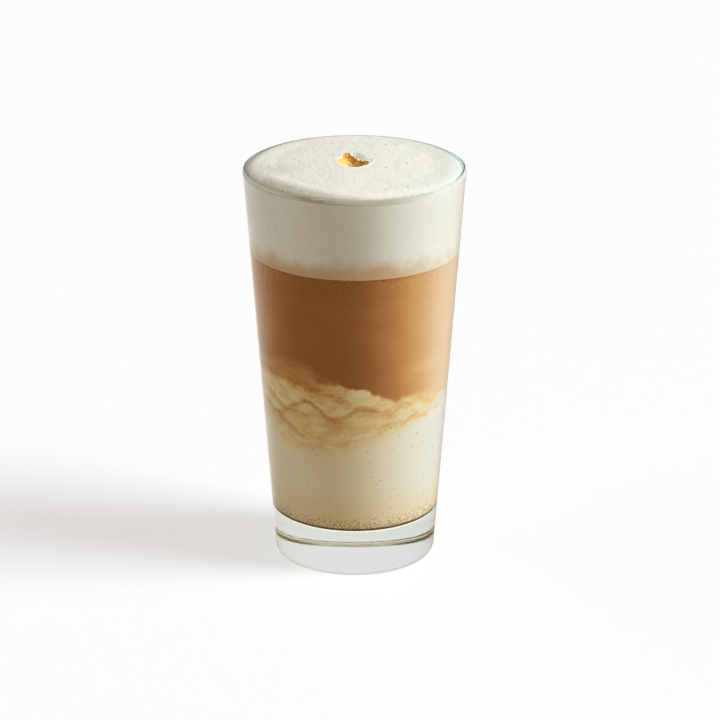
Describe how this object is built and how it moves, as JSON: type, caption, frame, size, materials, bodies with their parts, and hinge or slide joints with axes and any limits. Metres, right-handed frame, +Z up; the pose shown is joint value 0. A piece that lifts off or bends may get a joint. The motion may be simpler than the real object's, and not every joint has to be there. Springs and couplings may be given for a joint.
{
  "type": "glass of layered coffee",
  "caption": "Tall conical clear glass tumbler filled with layered milk coffee: milk, marbled milk, coffee and white foam domed above the rim.",
  "frame": {"origin": "middle of the glass's foot, on the surface it stands on", "axes": "+Z up along the glass's axis; -Y is the front, the side that shows in the picture; +X is to its right"},
  "size_m": [0.0814, 0.0814, 0.1527],
  "materials": {
    "glass": "clear soda-lime glass, polished, faint green in the thick lip",
    "milk": "cream-white milk, opaque, wet against the glass",
    "marbled_milk": "cream and tan marbling with thin brown veins, wet against the glass",
    "coffee": "milky brown coffee, wet against the glass",
    "stained_foam": "milk foam stained tan by the coffee, fading upwards in wisps",
    "foam": "fine white milk foam, matt, with pinholes and a golden patch in its crater"
  },
  "bodies": {
    "root": {"glass": "glass", "milk": "milk", "marbled_milk": "marbled_milk", "coffee": "coffee", "stained_foam": "stained_foam", "foam": "foam"}
  },
  "joints": []
}
